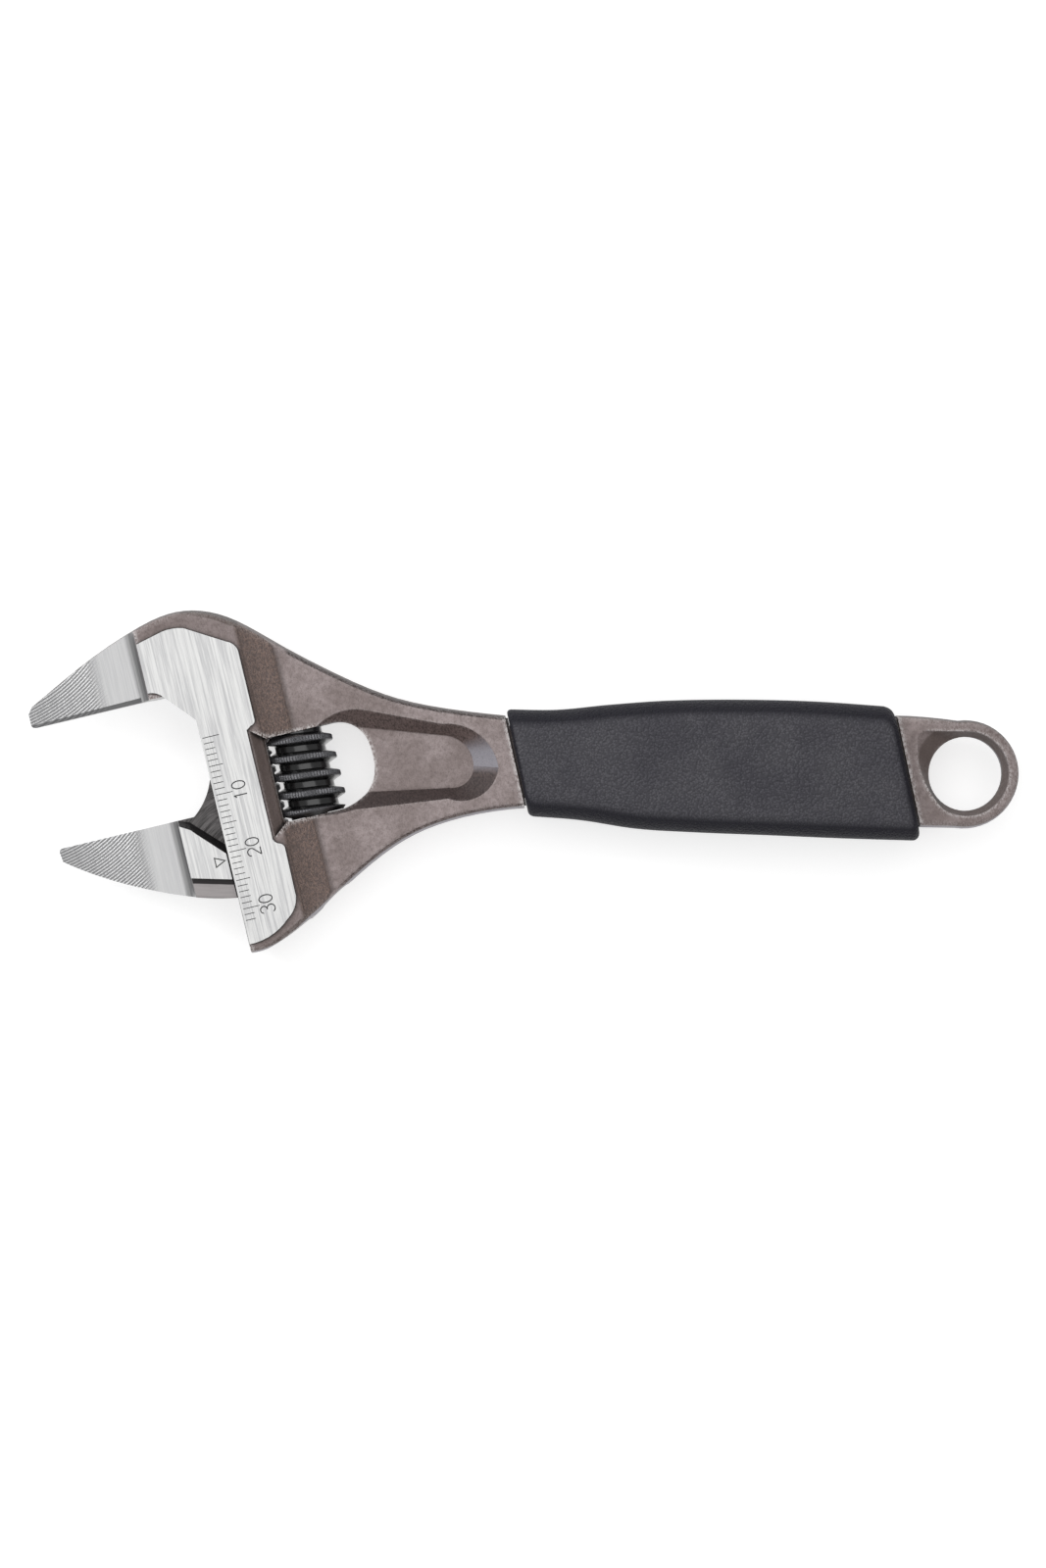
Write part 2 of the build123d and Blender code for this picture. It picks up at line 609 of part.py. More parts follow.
def rack_grooves():
    """Grooves for the knurl's thread, as steep as the thread is where the two meet."""
    flank = (FOOT_HALF - CREST_HALF) / (KNURL_RADIUS - KNURL_ROOT)
    bottom = KNURL_ACROSS - KNURL_RADIUS - RACK_CLEARANCE
    mouth = KNURL_ACROSS - KNURL_ROOT + RACK_TIP_GAP
    narrow = CREST_HALF + RACK_CLEARANCE
    wide = narrow + flank * (mouth - bottom)
    lead = KNURL_PITCH / (2 * pi * (KNURL_RADIUS + KNURL_ROOT) / 2)
    along = Vector(0, 0, 1) + slide_direction() * lead
    first = KNURL_CREST_DOWN - KNURL_PITCH / 2
    cuts = []
    for turn in range(-2, 12):
        middle = first + turn * KNURL_PITCH
        if OPENING + ROD_TOP - wide < middle < OPENING + ROD_END + wide:
            upper = [(bottom, middle - narrow), (mouth, middle - wide)]
            lower = [(mouth, middle + wide), (bottom, middle + narrow)]
            gap = head_plane() * straight_face(upper + lower)
            cuts.append(extrude(gap, 2 * ROD_RADIUS, dir=along, both=True))
    return cuts


def pointer_cut():
    """Engraved triangle that points at the scale."""
    plane = head_plane(OPENING + SCALE_START).offset(-ROOT_HALF)
    outline = Polyline((-2.45, -0.8), (-2.45, 0.8), (-0.75, 0.0), close=True)
    return extrude(plane * trace(outline, NUMERAL_STROKE), MARK_DEPTH, both=True)


def moving_jaw():
    """Lower jaw with its web and toothed rod, one forging."""
    root = jaw_root() - both_sides(jaw_band_cut())
    solid = jaw_blade() + root + jaw_web() + rack_rod()
    return solid - rack_grooves() - pointer_cut()


# --------------------------------------------------------------------- knurl and its parts

def knurl():
    """Adjusting screw: a left-hand worm, bored for its pin and counterbored for the spring."""
    top = WINDOW_TOP + KNURL_END_GAP
    bottom = WINDOW_BOTTOM - KNURL_END_GAP
    start = KNURL_CREST_DOWN - 2 * KNURL_PITCH
    turns = (bottom - start) / KNURL_PITCH + 1
    path = Helix(KNURL_PITCH, turns * KNURL_PITCH, KNURL_ROOT, lefthand=True)
    sunk = 0.3
    slope = (FOOT_HALF - CREST_HALF) / (KNURL_RADIUS - KNURL_ROOT)
    depth = KNURL_RADIUS - KNURL_ROOT
    foot = FOOT_HALF + slope * sunk
    tooth = straight_face([(-sunk, -foot), (depth, -CREST_HALF), (depth, CREST_HALF), (-sunk, foot)])
    section = Plane(origin=path @ 0, x_dir=(1, 0, 0), z_dir=(0, -1, 0)) * tooth
    thread = slide_plane(KNURL_ACROSS, start) * sweep(section, path, is_frenet=True)
    envelope = round_bar(KNURL_ACROSS, top, bottom, KNURL_RADIUS + 1)
    rims = [edge for edge in envelope.edges() if edge.geom_type == GeomType.CIRCLE]
    solid = round_bar(KNURL_ACROSS, top, bottom, KNURL_ROOT)
    solid += thread & chamfer(rims, 1 + KNURL_CHAMFER)
    solid -= round_bar(KNURL_ACROSS, top - 1, bottom + 1, PIN_RADIUS + RUNNING_CLEARANCE)
    pocket = SPRING_RADIUS + SPRING_WIRE / 2 + 0.13
    return solid - round_bar(KNURL_ACROSS, top - 1, top + SPRING_DEPTH, pocket)


def knurl_spring():
    """Compression spring round the pin, between the window's wall and the knurl."""
    length = KNURL_END_GAP + SPRING_DEPTH - SPRING_WIRE - 2 * RUNNING_CLEARANCE
    path = Helix(length / SPRING_TURNS, length, SPRING_RADIUS)
    wire = Plane(origin=path @ 0, x_dir=(1, 0, 0), z_dir=path % 0) * Circle(SPRING_WIRE / 2)
    start = WINDOW_TOP + SPRING_WIRE / 2 + RUNNING_CLEARANCE
    return slide_plane(KNURL_ACROSS, start) * sweep(wire, path, is_frenet=True)


def knurl_pin():
    """Screw pin that the knurl turns on, slotted at its lower end."""
    solid = round_bar(KNURL_ACROSS, PIN_TIP + 0.2, PIN_THREAD_START, PIN_RADIUS)
    solid += round_bar(KNURL_ACROSS, PIN_THREAD_START, PIN_END, PIN_THREAD_RADIUS)
    slot = slide_plane(KNURL_ACROSS, PIN_END) * Rectangle(3 * PIN_THREAD_RADIUS, PIN_SLOT)
    return solid - extrude(slot, -1.3 * PIN_SLOT)


# ---------------------------------------------------------------------------------- grip

def grip_section(share, top, bottom, half):
    """Section of the grip, as slanted as its ends, a share of the way along it."""
    middle = (top + bottom) / 2
    start = NECK_END_TOP[0] + GRIP_GAP + END_SLANT * (NECK_TOP - middle)
    end = EYE_END_TOP[0] - GRIP_GAP + END_SLANT * (EYE_TOP - middle)
    x = start + share * (end - start)
    lean = sqrt(1 + END_SLANT ** 2)
    plane = Plane(origin=(x, middle, 0), x_dir=(-END_SLANT, 1, 0), z_dir=(1, END_SLANT, 0))
    return plane * RectangleRounded((top - bottom) * lean, 2 * half, GRIP_ROUND)


def grip():
    """Elastomer sleeve moulded on the shank: slim at the neck, full in the hand."""
    swell = GRIP_HALF - GRIP_END_HALF
    outer = loft([
        grip_section(0.0, NECK_TOP + 1.05, NECK_BOTTOM - 1.35, GRIP_END_HALF),
        grip_section(0.13, 9.1, -9.75, GRIP_END_HALF + 0.2 * swell),
        grip_section(0.27, 10.2, -10.95, GRIP_END_HALF + 0.65 * swell),
        grip_section(0.42, 11.15, -11.3, GRIP_END_HALF + 0.93 * swell),
        grip_section(0.6, 11.65, -11.45, GRIP_HALF),
        grip_section(0.8, 11.7, -11.65, GRIP_END_HALF + 0.93 * swell),
        grip_section(1.0, EYE_TOP + 1.45, EYE_BOTTOM - 2.3, GRIP_END_HALF + 0.55 * swell),
    ])
    neck_end = min(outer.faces(), key=lambda face: face.center().X)
    outer = fillet(neck_end.edges(), NECK_END_ROUND)
    eye_end = max(outer.faces(), key=lambda face: face.center().X)
    outer = fillet(eye_end.edges(), EYE_END_ROUND)
    return outer - shank()


def build_all():
    """Every piece, named, about the eye's centre."""
    return {
        "body": body(),
        "moving_jaw": moving_jaw(),
        "knurl": knurl(),
        "knurl_pin": knurl_pin(),
        "knurl_spring": knurl_spring(),
        "grip": grip(),
    }


def origin_shift(pieces):
    """Move that brings the origin under the middle of the whole wrench."""
    box = Compound(children=[Compound(piece.wrapped) for piece in pieces.values()]).bounding_box()
    return Pos(-box.center().X, -box.center().Y, -box.min.Z)


PIECES = build_all()
SHIFT = origin_shift(PIECES)
os.makedirs("parts", exist_ok=True)
for piece_name, piece in PIECES.items():
    export_step(SHIFT * piece, f"parts/{piece_name}.step")
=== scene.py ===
import json
from math import atan, cos, pi, radians, sin, tau

import bmesh
import bpy
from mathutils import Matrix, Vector


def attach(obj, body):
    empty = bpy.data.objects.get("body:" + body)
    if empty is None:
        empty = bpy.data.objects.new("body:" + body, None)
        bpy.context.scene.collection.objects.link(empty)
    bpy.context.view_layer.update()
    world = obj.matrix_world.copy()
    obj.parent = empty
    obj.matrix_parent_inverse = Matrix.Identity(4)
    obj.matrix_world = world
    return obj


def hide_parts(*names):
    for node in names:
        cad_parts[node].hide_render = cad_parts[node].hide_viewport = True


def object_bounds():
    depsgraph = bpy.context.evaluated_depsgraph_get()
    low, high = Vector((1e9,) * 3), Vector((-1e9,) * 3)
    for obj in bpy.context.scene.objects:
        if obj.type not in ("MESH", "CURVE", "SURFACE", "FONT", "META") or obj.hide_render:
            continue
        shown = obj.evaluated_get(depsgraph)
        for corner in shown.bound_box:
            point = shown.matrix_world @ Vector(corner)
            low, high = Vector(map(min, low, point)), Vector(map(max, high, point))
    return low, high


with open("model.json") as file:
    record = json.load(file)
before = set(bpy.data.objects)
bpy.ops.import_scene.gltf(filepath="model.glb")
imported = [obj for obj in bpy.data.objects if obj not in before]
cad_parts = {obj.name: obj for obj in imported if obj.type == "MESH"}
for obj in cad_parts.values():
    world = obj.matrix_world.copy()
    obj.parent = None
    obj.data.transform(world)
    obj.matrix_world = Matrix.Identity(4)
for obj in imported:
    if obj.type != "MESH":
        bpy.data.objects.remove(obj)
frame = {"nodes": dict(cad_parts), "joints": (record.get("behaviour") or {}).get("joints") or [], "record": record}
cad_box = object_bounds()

# The wrench lies on its side on a light table, under a large softbox and with a small one at its
# left. The camera looks straight down, turned a little, so that the handle drops towards the eye.
mount = {entry["name"]: entry for entry in frame["record"]["mounts"]}
joint = {entry["name"]: entry for entry in frame["joints"]}
low, high = (Vector(corner) for corner in cad_box)
middle = (low + high) / 2
CAMERA_HEIGHT = 0.9
VIEW_WIDTH = 0.1799
VIEW_RISE = 0.00096
VIEW_TURN = 1.55
STUDIO_GLOW = 0.5
lens = bpy.data.cameras.new("camera")
lens.sensor_fit = "HORIZONTAL"
lens.angle = 2 * atan(VIEW_WIDTH / 2 / CAMERA_HEIGHT)
camera = bpy.data.objects.new("camera", lens)
camera.location = (middle.x, middle.y + VIEW_RISE, middle.z + CAMERA_HEIGHT)
camera.rotation_euler = (0, 0, radians(VIEW_TURN))
bpy.context.scene.collection.objects.link(camera)
bpy.context.scene.camera = camera
bpy.context.scene.view_settings.view_transform = "Standard"


def softbox(name, place, size, power):
    """Square studio light aimed at the wrench."""
    lamp = bpy.data.lights.new(name, "AREA")
    lamp.shape = "SQUARE"
    lamp.size = size
    lamp.energy = power
    light = bpy.data.objects.new(name, lamp)
    light.location = place
    light.rotation_euler = (middle - Vector(place)).to_track_quat("-Z", "Y").to_euler()
    bpy.context.scene.collection.objects.link(light)


softbox("overhead_softbox", place=(0.0, 0.3, 1.3), size=1.4, power=8.5)
softbox("left_softbox", place=(-0.7, 0.35, 0.4), size=0.3, power=2.4)
world = bpy.data.worlds.new("studio")
world.use_nodes = True
background = world.node_tree.nodes["Background"]
background.inputs["Color"].default_value = (1, 1, 1, 1)
background.inputs["Strength"].default_value = STUDIO_GLOW
bpy.context.scene.world = world


class Value:
    """A number that changes over a surface. Arithmetic on it adds the Math nodes for it."""

    def __init__(self, finish, socket):
        self.finish = finish
        self.socket = socket

    def math(self, operation, *numbers):
        return self.finish.node("ShaderNodeMath", {"operation": operation}, dict(enumerate(numbers)))

    def __add__(self, other):
        return self.math("ADD", self, other)

    def __radd__(self, other):
        return self.math("ADD", other, self)

    def __sub__(self, other):
        return self.math("SUBTRACT", self, other)

    def __rsub__(self, other):
        return self.math("SUBTRACT", other, self)

    def __mul__(self, other):
        return self.math("MULTIPLY", self, other)

    def __rmul__(self, other):
        return self.math("MULTIPLY", other, self)

    def __pow__(self, other):
        return self.math("POWER", self, other)

    def __abs__(self):
        return self.math("ABSOLUTE", self)

    def __or__(self, other):
        """The larger: one mask or another."""
        return self.math("MAXIMUM", self, other)

    def wave(self):
        """Sine of this many radians."""
        return self.math("SINE", self)

    def above(self, start, full):
        """0 up to start, then smoothly to 1 at full; start may be the larger."""
        sockets = {"Value": self, "From Min": start, "From Max": full, "To Min": 0.0, "To Max": 1.0}
        settings = {"interpolation_type": "SMOOTHSTEP", "clamp": True}
        if start > full:
            sockets = {**sockets, "From Min": full, "From Max": start, "To Min": 1.0, "To Max": 0.0}
        return self.finish.node("ShaderNodeMapRange", settings, sockets)

    def inside(self, start, end, soft):
        """1 between start and end, with soft edges."""
        return self.above(start - soft, start + soft) * self.above(end + soft, end - soft)


class Finish:
    """A procedural material as it is put together."""

    def __init__(self, name, **constants):
        self.material = bpy.data.materials.new(name)
        self.material.use_nodes = True
        self.tree = self.material.node_tree
        self.shader = self.tree.nodes["Principled BSDF"]
        for socket, value in constants.items():
            self.shader.inputs[socket.replace("_", " ")].default_value = value
        self.place = self.node("ShaderNodeTexCoord", output="Object")
        self.facing = self.node("ShaderNodeTexCoord", output="Normal")

    def node(self, kind, settings=None, inputs=None, output=0):
        """Adds one node: its settings, then the numbers or links of its sockets."""
        made = self.tree.nodes.new(kind)
        for name, setting in (settings or {}).items():
            setattr(made, name, setting)
        for name, value in (inputs or {}).items():
            if isinstance(value, Value):
                self.tree.links.new(value.socket, made.inputs[name])
            else:
                made.inputs[name].default_value = value
        return Value(self, made.outputs[output])

    def parts(self, vector):
        """The three numbers of a vector."""
        return [self.node("ShaderNodeSeparateXYZ", None, {"Vector": vector}, axis) for axis in "XYZ"]

    def vector(self, x, y, z):
        return self.node("ShaderNodeCombineXYZ", None, {"X": x, "Y": y, "Z": z})

    def noise(self, where, scale, detail=2.0, roughness=0.5, distortion=0.0):
        """Cloudy pattern from 0 to 1, with scale clouds to a unit of where."""
        sockets = {"Vector": where, "Scale": scale, "Detail": detail, "Roughness": roughness,
                   "Distortion": distortion}
        return self.node("ShaderNodeTexNoise", None, sockets, "Fac")

    def grain(self, where, scale, ease):
        """Rounded cells, 0 in the middle of each, as in leather or a shot-blasted skin."""
        sockets = {"Vector": where, "Scale": scale, "Smoothness": ease}
        return self.node("ShaderNodeTexVoronoi", {"feature": "SMOOTH_F1"}, sockets, "Distance")

    def hollow(self, reach, inside=False):
        """1 in corners within reach, in metres; or, from inside the metal, 1 at outer edges."""
        settings = {"samples": 6, "only_local": True, "inside": inside}
        return 1 - self.node("ShaderNodeAmbientOcclusion", settings, {"Distance": reach}, "AO")

    def mix(self, share, under, over):
        """Colour over laid on colour under where share is 1."""
        return self.node("ShaderNodeMix", {"data_type": "RGBA"}, {0: share, 6: under, 7: over}, 2)

    def blend(self, share, under, over):
        """Number over in place of number under where share is 1."""
        return self.node("ShaderNodeMix", {"data_type": "FLOAT"}, {0: share, 2: under, 3: over}, 0)

    def bump(self, height, depth, under=None):
        """Normal of a surface that rises by height times depth, in metres, over an earlier normal."""
        sockets = {"Height": height, "Distance": depth, "Strength": 1.0}
        if under is not None:
            sockets["Normal"] = under
        return self.node("ShaderNodeBump", None, sockets, "Normal")

    def wear(self, **sockets):
        """Links what varies to the shader and returns the finished material."""
        for name, value in sockets.items():
            self.tree.links.new(value.socket, self.shader.inputs[name.replace("_", " ")])
        return self.material


def tone(red, green, blue):
    """Linear colour of a screen colour out of 255."""
    def straight(level):
        share = level / 255
        return share / 12.92 if share <= 0.04045 else ((share + 0.055) / 1.055) ** 2.4
    return (straight(red), straight(green), straight(blue), 1.0)


# Table: a plain board of opal acrylic, lit a little from beneath, which softens the shadows. The
# wrench lies just clear of it.
TABLE_REACH = 3.0
TABLE_DROP = 0.0004
TABLE_GLOW = 0.62
TABLE_SHADE = tone(196, 196, 196)
TABLE_LIGHT = tone(200, 200, 200)
board = bmesh.new()
bmesh.ops.create_grid(board, x_segments=2, y_segments=2, size=TABLE_REACH)
board_mesh = bpy.data.meshes.new("table_top")
board.to_mesh(board_mesh)
board.free()
table_top = bpy.data.objects.new("table_top", board_mesh)
table_top.location = (0, 0, low.z - TABLE_DROP)
bpy.context.scene.collection.objects.link(table_top)
opal = Finish("opal_acrylic", Roughness=0.9, Specular_IOR_Level=0.0, Emission_Color=(1, 1, 1, 1),
              Emission_Strength=TABLE_GLOW)
opal_colour = opal.mix(opal.noise(opal.place, 3.0), TABLE_SHADE, TABLE_LIGHT)
table_top.data.materials.append(opal.wear(Base_Color=opal_colour))

# The forging: fixed jaw, head, neck, shank and eye in one drop-forged piece of alloy steel.
# It is phosphated brown-grey all over, then the head's flats and the thin jaw are ground and milled
# bright. The scale is engraved in the upper flat.
# Painted shade darkens hollows, creases, recess walls and upper edges; painted highlights lighten lower edges.
MM = 1000.0
FACE_POINT = 0.018                    # the mount on a jaw's face, from the head's front edge
# heights above the middle of the thickness, mm
GROUND = 6.25
NECK = 4.35
PANEL_FLOOR = 2.3
PANEL_RIM = 4.27
POCKET_FLOOR = 3.5
# distances across the head from its front edge, mm; the thin jaws are in front of it
STEP_FOOT = -7.0
BEVEL_END = -8.2
FACE_ROOT = -4.2
SLOPE_START = 10.0
SLOPE_END = 15.9
PANEL_START = 17.0
# radii about the eye's centre, mm
POCKET_RADIUS = 9.4
EYE_RIM = 12.0
PANEL_CLEAR = 30.0
# the milling cutter's arcs, mm: their spacing, their centre across the head and down it, and how
# far across the head they have faded out and are at their full depth
CUTTER_PITCH = 0.5
FIXED_CUTTER = (-33.8, -30.7)
FIXED_SMOOTH = -13.0
FIXED_MILLED = -17.5
BROWN = tone(139, 126, 124)
BROWN_LIGHT = tone(158, 145, 144)
BROWN_DARK = tone(84, 71, 66)
# dark for fine dirt, and for painted shade in the crease, at the foot of walls and on upper edges
SOOT_AND_SHADE = tone(34, 29, 28)
WORN = tone(206, 201, 200)
# painted highlight, for the lower edges and the walls that face the light
PAINTED_HIGHLIGHT = tone(152, 150, 158)
GROUND_STEEL = tone(202, 202, 201)
GROUND_SHADE = tone(168, 168, 169)
# dark of the cutter's arcs, and painted shade up the step and in corners
CUTTER_MARK_AND_SHADE = tone(104, 104, 106)
ENGRAVED = tone(52, 52, 54)
COPPERY = tone(142, 119, 109)
PANEL_SHADE = tone(62, 50, 48)
PANEL_LIGHT = tone(104, 88, 85)
PANEL_SHADOW = tone(36, 27, 28)
BEVEL_STEEL = tone(140, 140, 141)
slide = Vector(joint["jaw_slide"]["axis"])
across = Vector((-slide.y, slide.x, 0))
head = Vector(mount["fixed_jaw_face"]["pos_m"]) + FACE_POINT * across
eye = Vector(mount["hang_hole"]["pos_m"])


def from_point(finish, origin):
    """Distances of the surface from origin in mm: along the handle, over it, and up from the
    middle of the thickness."""
    x, y, z = finish.parts(finish.place)
    return (x - origin.x) * MM, (y - origin.y) * MM, abs(z - origin.z) * MM


def on_head(along, over):
    """The same place as distances across the head and down it."""
    return along * across.x + over * across.y, along * slide.x + over * slide.y


def milled(sideways, downward, centre, smooth, full):
    """Cutter's arcs on a thin jaw, from -1 to 1, and the share of them that is left towards the step."""
    left = sideways.above(smooth, full)
    reach = ((sideways - centre[0]) ** 2.0 + (downward - centre[1]) ** 2.0) ** 0.5
    return (reach * (tau / CUTTER_PITCH)).wave() * left, left


def ground_thin(finish, steel, thin, level):
    """Ground steel of a thin jaw: a little greyer on the flat, and darker up the step as painted shade."""
    steel = finish.mix(thin * level.above(0.8, 0.97) * 0.6, steel, GROUND_SHADE)
    return finish.mix(thin * level.inside(0.4, 0.86, 0.08) * 0.6, steel, CUTTER_MARK_AND_SHADE)


def cutter_shade(finish, steel, arcs, thin, left):
    """Ground steel with the dark sides of the cutter's arcs."""
    return finish.mix((0.5 - 0.5 * arcs) * thin * left * 0.55, steel, CUTTER_MARK_AND_SHADE)


forged = Finish("phosphated_forging")
along, over, height = from_point(forged, head)
sideways, downward = on_head(along, over)
facing_x, facing_y, facing_z = forged.parts(forged.facing)
level = abs(facing_z)
down = facing_x * slide.x + facing_y * slide.y
spot = forged.vector(sideways, downward, height)
fine = forged.noise(spot, 5.0, 3.0, 0.65)
coarse = forged.noise(spot, 1.1, 3.0, 0.6)
cloud = forged.noise(spot, 0.16, 2.0, 0.5)
grit = forged.noise(forged.vector(sideways, downward * 0.55, height), 3.6, 3.0, 0.7, 0.2)
brushed = forged.noise(forged.vector(sideways * 3.0, downward * 0.07, height * 3.0), 1.0, 4.0, 0.7)
streak = forged.noise(forged.vector(sideways * 1.3, downward * 0.03, height), 1.0, 2.0, 0.5)
shade_at_foot = forged.hollow(0.0009)
shade_in_hollows = forged.hollow(0.0045)
rim = forged.hollow(0.001, inside=True)
lean = facing_x * across.x + facing_y * across.y
to_eye = (eye - head) * MM
round_eye = ((along - to_eye.x) ** 2.0 + (over - to_eye.y) ** 2.0) ** 0.5

thin = sideways.above(STEP_FOOT, STEP_FOOT - 0.15) * level.above(0.25, 0.4)
bevel = sideways.above(BEVEL_END, BEVEL_END - 0.2) * down.above(0.5, 0.7)
face = downward.above(-0.25, -0.15) * sideways.above(FACE_ROOT, FACE_ROOT - 0.6) * down.above(0.8, 0.95)
flat = height.above(GROUND - 0.03, GROUND - 0.005)
bright = flat | thin | face | bevel
dull = 1 - bright
cut = height.inside(GROUND - 0.16, GROUND - 0.05, 0.02) * level.above(0.5, 0.9)
slope = sideways.inside(SLOPE_START, SLOPE_END, 0.35) * height.above(NECK - 0.1, NECK + 0.1)
# painted shade in the valley where the shoulder's slope ends
shaded_crease = sideways.inside(SLOPE_END - 0.6, SLOPE_END + 0.4, 0.5)
shaded_crease = shaded_crease * height.inside(NECK - 0.1, NECK + 0.1, 0.05)
draft = level.above(0.35, 0.25) * dull
low_side = facing_y.above(0.1, -0.5)

# painted shade on the faces beside the slope that lean one way across the head
shaded_facet = lean.above(0.05, 0.15) * sideways.above(SLOPE_START + 0.7, SLOPE_START + 0.4) * dull
wall = height.inside(PANEL_FLOOR, PANEL_RIM, 0.03) * sideways.above(PANEL_START, PANEL_START + 1.0)
wall = wall * level.above(0.995, 0.97) * round_eye.above(PANEL_CLEAR, PANEL_CLEAR + 1.0)
shaded_pocket = round_eye.above(POCKET_RADIUS, POCKET_RADIUS - 0.5)
shaded_pocket = shaded_pocket * height.above(POCKET_FLOOR + 0.35, POCKET_FLOOR)

base = forged.mix(cloud.above(0.35, 0.65), BROWN, BROWN_LIGHT)
base = forged.mix(coarse.above(0.35, 0.7) * 0.3, base, BROWN_DARK)
base = forged.mix(grit.above(0.5, 0.36) * 0.3, base, BROWN_DARK)
base = forged.mix(slope * 0.75, base, BROWN_DARK)
base = forged.mix(slope * grit.above(0.4, 0.62) * 0.8, base, COPPERY)
base = forged.mix(shaded_crease * 0.35, base, SOOT_AND_SHADE)
outer = height.above(5.0, 5.6) | round_eye.above(EYE_RIM, EYE_RIM - 1.0)
base = forged.mix(outer * dull * 0.3, base, BROWN_DARK)
base = forged.mix(shaded_facet * 0.8, base, BROWN_DARK)
# panel walls painted dark as forged skin and painted shade of the recess, darker facing one way
wall_skin_and_shade = forged.mix(grit.above(0.35, 0.6), PANEL_SHADE, PANEL_LIGHT)
wall_skin_and_shade = forged.mix(facing_y.above(-0.1, 0.25) * 0.6, wall_skin_and_shade, PANEL_SHADOW)
base = forged.mix(wall, base, wall_skin_and_shade)
lit = facing_x.above(-0.05, -0.3) * facing_y.above(0.14, -0.08) * facing_y.above(-0.5, -0.2)
base = forged.mix(wall * lit * 0.85, base, PAINTED_HIGHLIGHT)
# the eye's pocket is painted darker, as painted shade in the recess
base = forged.mix(shaded_pocket * 0.7, base, BROWN_DARK)
base = forged.mix(fine.above(0.5, 0.3) * 0.3, base, SOOT_AND_SHADE)
# lower draft faces are painted lighter as a painted highlight, and upper ones darker as painted shade
base = forged.mix(draft * low_side * 0.75, base, PAINTED_HIGHLIGHT)
base = forged.mix(draft * (1 - low_side) * 0.6, base, SOOT_AND_SHADE)
base = forged.mix(rim.above(0.12, 0.34) * grit.above(0.42, 0.56) * 0.9, base, WORN)
# painted shade in the hollows, and darker at the foot of walls
base = forged.mix(shade_in_hollows.above(0.12, 0.6) * 0.75, base, BROWN_DARK)
base = forged.mix(shade_at_foot.above(0.08, 0.4) * 0.9, base, SOOT_AND_SHADE)
steel = forged.mix(brushed.above(0.34, 0.62), GROUND_SHADE, GROUND_STEEL)
steel = forged.mix(streak.above(0.5, 0.72) * 0.3, steel, GROUND_SHADE)
steel = ground_thin(forged, steel, thin, level)
steel = forged.mix(bevel, steel, BEVEL_STEEL)
arcs, left = milled(sideways, downward, FIXED_CUTTER, FIXED_SMOOTH, FIXED_MILLED)
arcs = arcs * thin
steel = cutter_shade(forged, steel, arcs, thin, left)
base = forged.mix(bright, base, steel)
base = forged.mix(cut, base, ENGRAVED)

gloss = forged.blend(bright, 0.5 + 0.15 * coarse, 0.34 + 0.12 * brushed)
metal = forged.blend(bright, 0.15, 0.85)
relief = forged.bump(coarse * dull, 0.00012)
relief = forged.bump(fine * dull, 0.00005, relief)
relief = forged.bump(grit * slope, 0.00035, relief)
relief = forged.bump(brushed * bright, 0.000008, relief)
relief = forged.bump(arcs, 0.00004, relief)
forging = frame["nodes"]["body"]
forging.data.materials.clear()
phosphated = forged.wear(Base_Color=base, Roughness=gloss, Metallic=metal, Normal=relief)
forging.data.materials.append(phosphated)

# Moving jaw: one forging with a thin ground jaw, a thick root, and a web to the toothed rod that
# runs in the head. The jaw and root are ground bright and the web is left rough; its dark colour is
# partly its forged skin and partly painted shade.
ROOT = 6.05                           # height of the root's flat
BAND_TOP = -11.59                     # top of the forged band under the root, over the handle's way
ROD_SIDE = 1.7                        # the rod's near side, across the head
POINTER_START = 5.0                   # the pointer line, down the head
POINTER_END = 12.0
WEB_SWIRL = (2.0, 9.0)                # middle of the web's flow lines, across the head and down it
JAW_CUTTER = (-30.8, -18.9)
JAW_SMOOTH = -12.0
JAW_MILLED = -16.5
WEB_DARK = tone(50, 48, 48)
WEB_LIGHT = tone(112, 109, 109)
WEB_WALL_SHADE = tone(26, 24, 25)
BAND_DARK = tone(146, 141, 141)
BAND_LIGHT = tone(170, 165, 165)
BAND_EDGE = tone(50, 47, 48)
BAND_FOOT = tone(70, 66, 67)
POINTER = tone(90, 90, 90)
opening = Vector(mount["moving_jaw_face"]["pos_m"]) - Vector(mount["fixed_jaw_face"]["pos_m"])
jaw_steel = Finish("ground_jaw")
along, over, height = from_point(jaw_steel, head + opening)
sideways, downward = on_head(along, over)
level = abs(jaw_steel.parts(jaw_steel.facing)[2])
spot = jaw_steel.vector(sideways, downward, height)
fine = jaw_steel.noise(spot, 5.0, 3.0, 0.65)
brushed = jaw_steel.noise(jaw_steel.vector(sideways * 3.0, downward * 0.07, height * 3.0), 1.0, 4.0, 0.7)
drawn = jaw_steel.noise(jaw_steel.vector(along * 0.25, over * 6.0, height), 1.0, 2.0, 0.5)
web_grain = ((sideways - WEB_SWIRL[0]) ** 2.0 + (downward - WEB_SWIRL[1]) ** 2.0) ** 0.5
flow = jaw_steel.vector(web_grain * 3.0, (sideways + downward) * 0.5, height)
swirl = jaw_steel.noise(flow, 1.0, 3.0, 0.6, 0.8)
corner = jaw_steel.hollow(0.0008)

past_step = sideways.above(STEP_FOOT - 0.2, STEP_FOOT)
thin = (1 - past_step) * level.above(0.2, 0.4)
band = past_step * over.above(BAND_TOP + 0.05, BAND_TOP - 0.05) * height.above(ROOT - 0.02, ROOT - 0.1)
root = height.above(ROOT - 0.04, ROOT - 0.01)
marked = height.inside(ROOT - 0.16, ROOT - 0.05, 0.02) * level.above(0.5, 0.9)
marked = marked * downward.inside(POINTER_START, POINTER_END, 0.1) * (1 - band)
rod = sideways.above(ROD_SIDE, ROD_SIDE + 0.5)
dark = past_step * (1 - root) * (1 - band) * (1 - rod)

